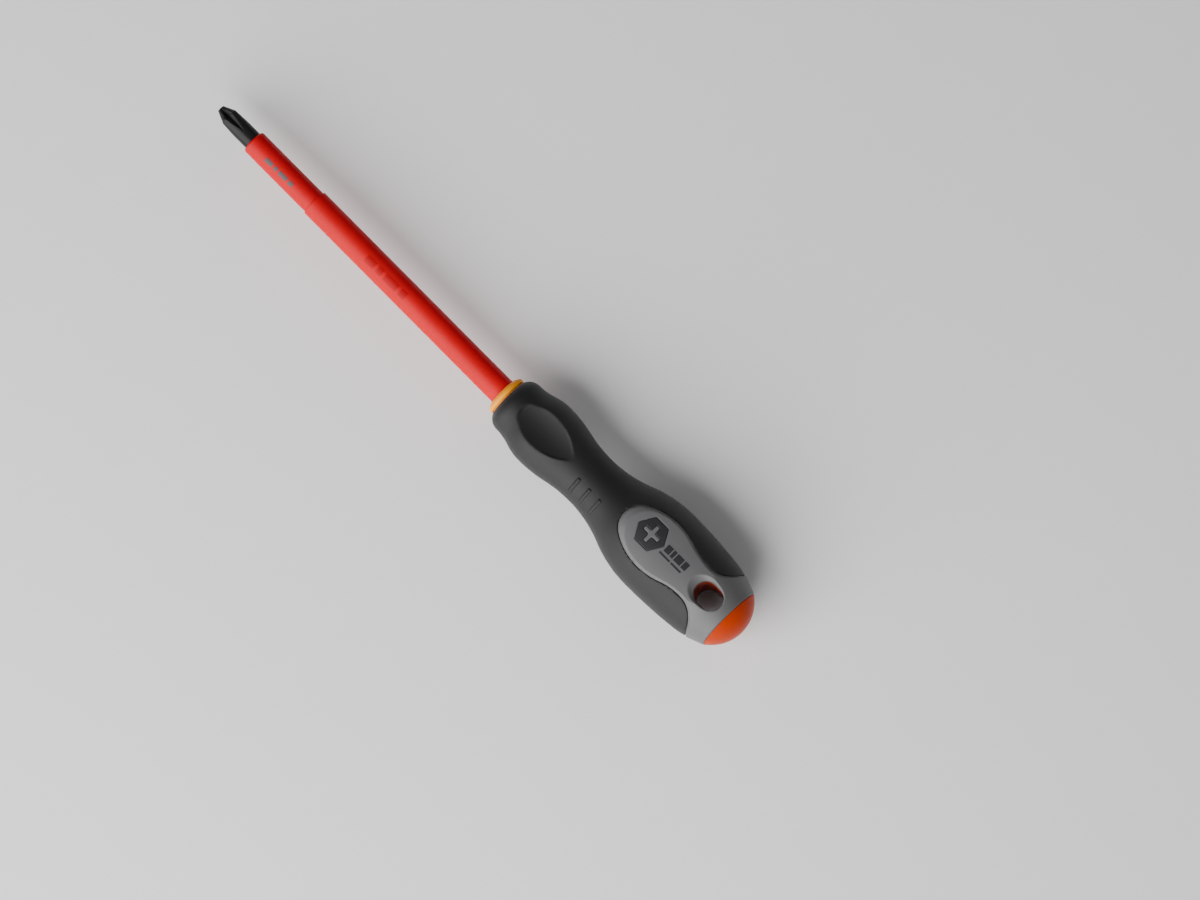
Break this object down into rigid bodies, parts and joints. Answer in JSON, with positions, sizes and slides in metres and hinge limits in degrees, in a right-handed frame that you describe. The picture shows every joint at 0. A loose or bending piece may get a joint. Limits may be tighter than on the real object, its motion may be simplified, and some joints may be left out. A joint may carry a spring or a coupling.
{
  "type": "insulated screwdriver",
  "caption": "Fixed-blade cross-tip screwdriver with a red insulating shaft, a collar, a waisted soft-grip handle with flat side panels, and a hanging hole through the butt.",
  "frame": {"origin": "on the blade axis, in the plane of the front face of the orange collar (the shoulder)", "axes": "+X along the tool from the tip to the butt; +Z out of the upper grey panel; +Y across the handle; the tool lies on its lower panel"},
  "size_m": [0.276, 0.0362, 0.033],
  "materials": {
    "blade_steel": "black oxide, satin",
    "red_insulation_inner": "smooth, slightly glossy",
    "red_insulation": "smooth, slightly glossy",
    "orange_core": "glossy, slightly translucent",
    "grey_shell": "fine satin",
    "soft_grip": "soft matte",
    "badge": "matte"
  },
  "bodies": {
    "root": {"blade": "blade_steel", "insulation_inner": "red_insulation_inner", "insulation_outer": "red_insulation", "handle_core": "orange_core", "grey_shell": "grey_shell", "grip_sleeve": "soft_grip", "badge_upper": "badge", "badge_lower": "badge"}
  },
  "joints": []
}
